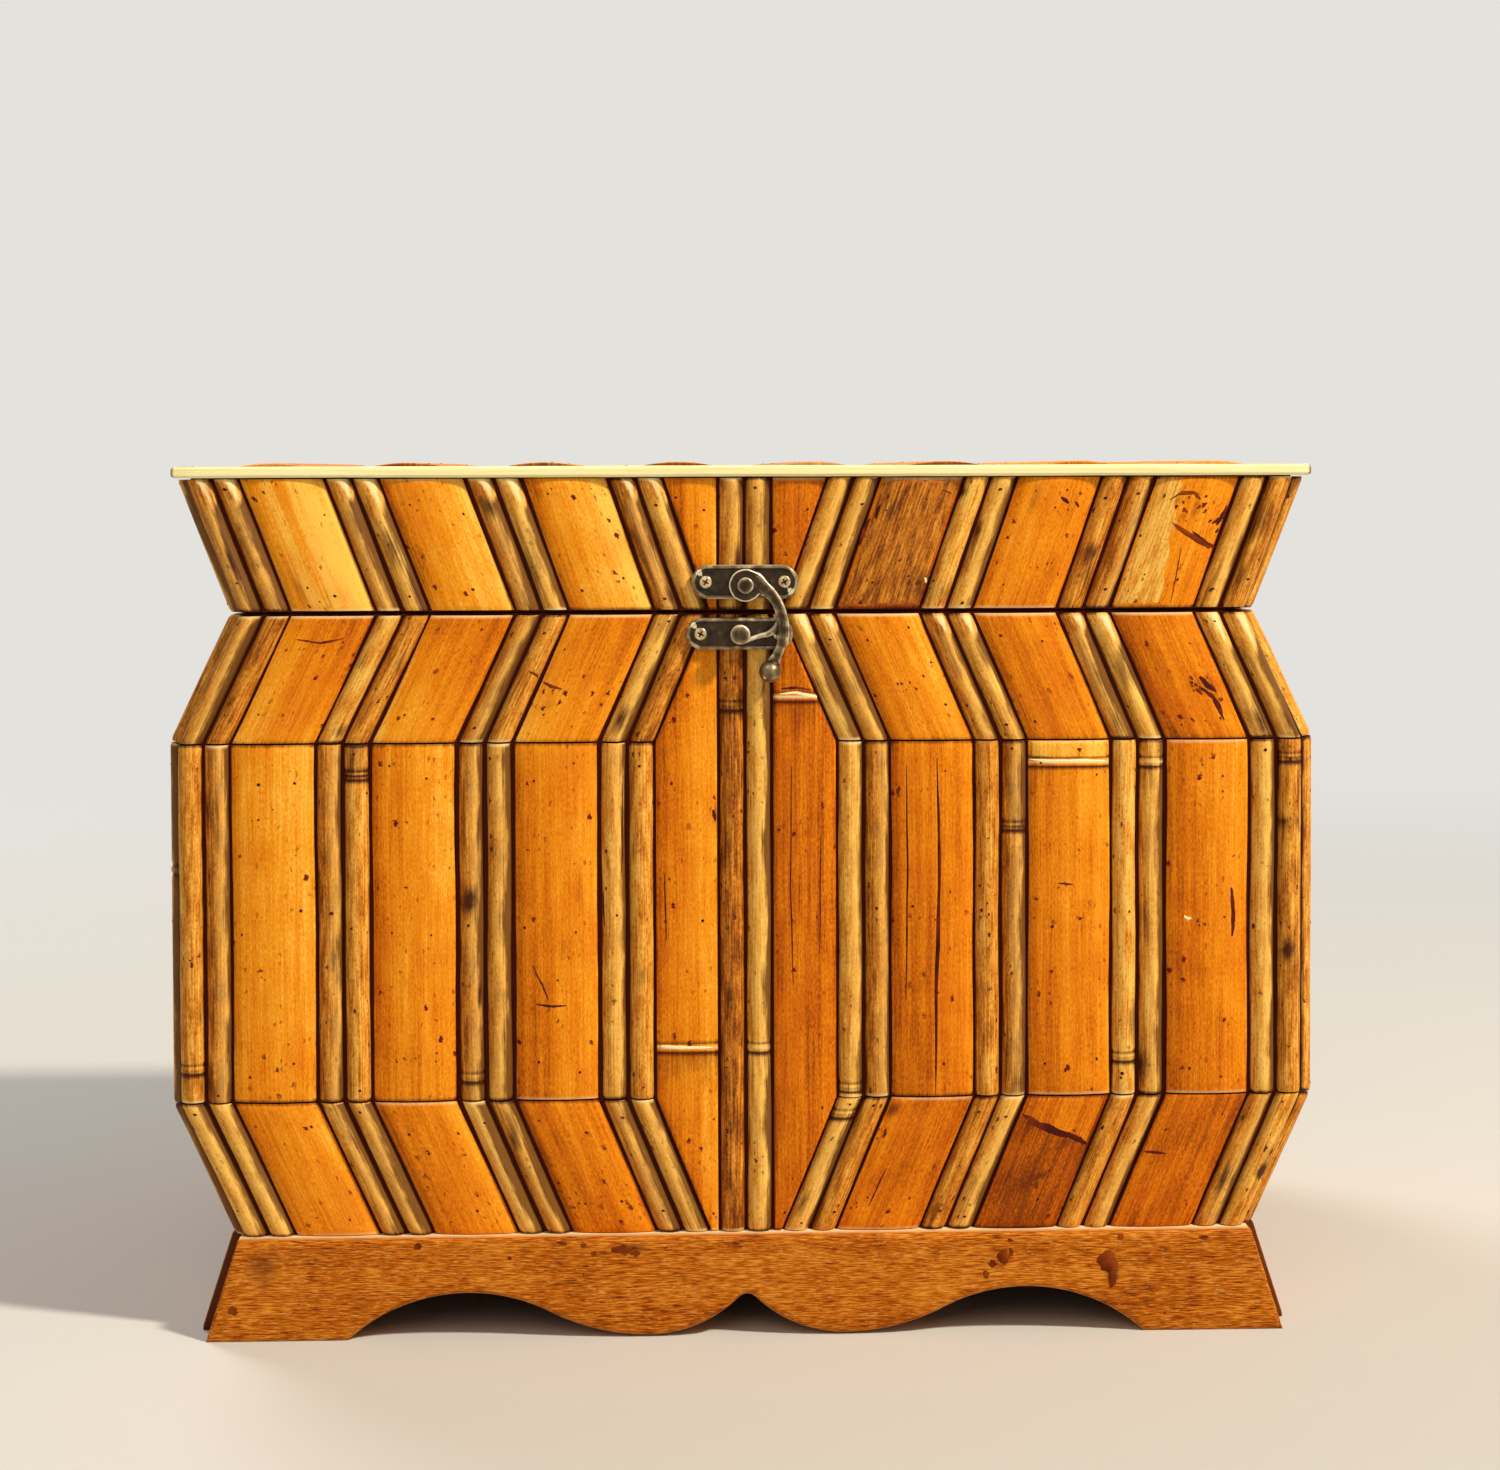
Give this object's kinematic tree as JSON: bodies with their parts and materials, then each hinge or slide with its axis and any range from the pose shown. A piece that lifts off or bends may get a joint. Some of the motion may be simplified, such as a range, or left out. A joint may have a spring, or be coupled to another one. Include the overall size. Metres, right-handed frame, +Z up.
{
  "type": "keepsake box",
  "caption": "Bombe casket of plywood clad in split bamboo laid in a chevron, with a hinged lid, a swing-hook latch and a scalloped plinth, for papers and keepsakes.",
  "frame": {"origin": "on the floor below the middle of the box", "axes": "+X to the right of the front, +Y from the latch towards the hinges, +Z up"},
  "size_m": [0.3024, 0.2092, 0.2308],
  "materials": {
    "bamboo_slat": "lacquered",
    "cane_stick": "lacquered",
    "pale_cane": "lacquered",
    "stained_ply": "satin",
    "apron_wood": "satin",
    "antique_bronze": "antique",
    "brass": "satin"
  },
  "bodies": {
    "box": {"front_board": "stained_ply", "back_board": "stained_ply", "bottom_board": "stained_ply", "left_lower_board": "stained_ply", "left_middle_board": "stained_ply", "left_upper_board": "stained_ply", "right_lower_board": "stained_ply", "right_middle_board": "stained_ply", "right_upper_board": "stained_ply", "front_apron": "apron_wood", "back_apron": "apron_wood", "left_apron": "apron_wood", "right_apron": "apron_wood", "front_lower_slats": "bamboo_slat", "front_lower_sticks": "cane_stick", "front_middle_slats": "bamboo_slat", "front_middle_sticks": "cane_stick", "front_upper_slats": "bamboo_slat", "front_upper_sticks": "cane_stick", "front_centre_slats": "bamboo_slat", "front_centre_sticks": "cane_stick", "back_slats": "bamboo_slat", "back_sticks": "cane_stick", "back_centre_slats": "bamboo_slat", "back_centre_sticks": "cane_stick", "left_slats": "bamboo_slat", "left_sticks": "cane_stick", "right_slats": "bamboo_slat", "right_sticks": "cane_stick", "hinge_body_leaves": "brass", "hinge_pins": "brass", "hinge_body_screws": "brass", "keeper_plate": "antique_bronze", "keeper_stud": "antique_bronze", "keeper_screws": "brass"},
    "lid": {"lid_front_board": "stained_ply", "lid_back_board": "stained_ply", "lid_left_board": "stained_ply", "lid_right_board": "stained_ply", "lid_top_board": "stained_ply", "lid_front_slats": "bamboo_slat", "lid_front_sticks": "cane_stick", "lid_centre_slats": "bamboo_slat", "lid_centre_sticks": "cane_stick", "lid_back_slats": "bamboo_slat", "lid_back_sticks": "cane_stick", "lid_left_slats": "bamboo_slat", "lid_left_sticks": "cane_stick", "lid_right_slats": "bamboo_slat", "lid_right_sticks": "cane_stick", "lid_top_slats": "bamboo_slat", "lid_top_sticks": "cane_stick", "lid_edge_strips": "pale_cane", "hinge_lid_leaves": "brass", "hinge_lid_screws": "brass", "latch_plate": "antique_bronze", "latch_rivet": "antique_bronze", "latch_screws": "brass"},
    "latch_hook": {"latch_hook": "antique_bronze"}
  },
  "joints": [
    {"name": "lid_hinge", "type": "hinge", "parent": "box", "child": "lid", "pos_m": [0, 0.0968, 0.1907], "axis": [-1, 0, 0], "range_deg": [0, 100]},
    {"name": "hook_swing", "type": "hinge", "parent": "lid", "child": "latch_hook", "pos_m": [0, -0.10275, 0.1978], "axis": [0, -1, 0], "range_deg": [0, 100]}
  ]
}
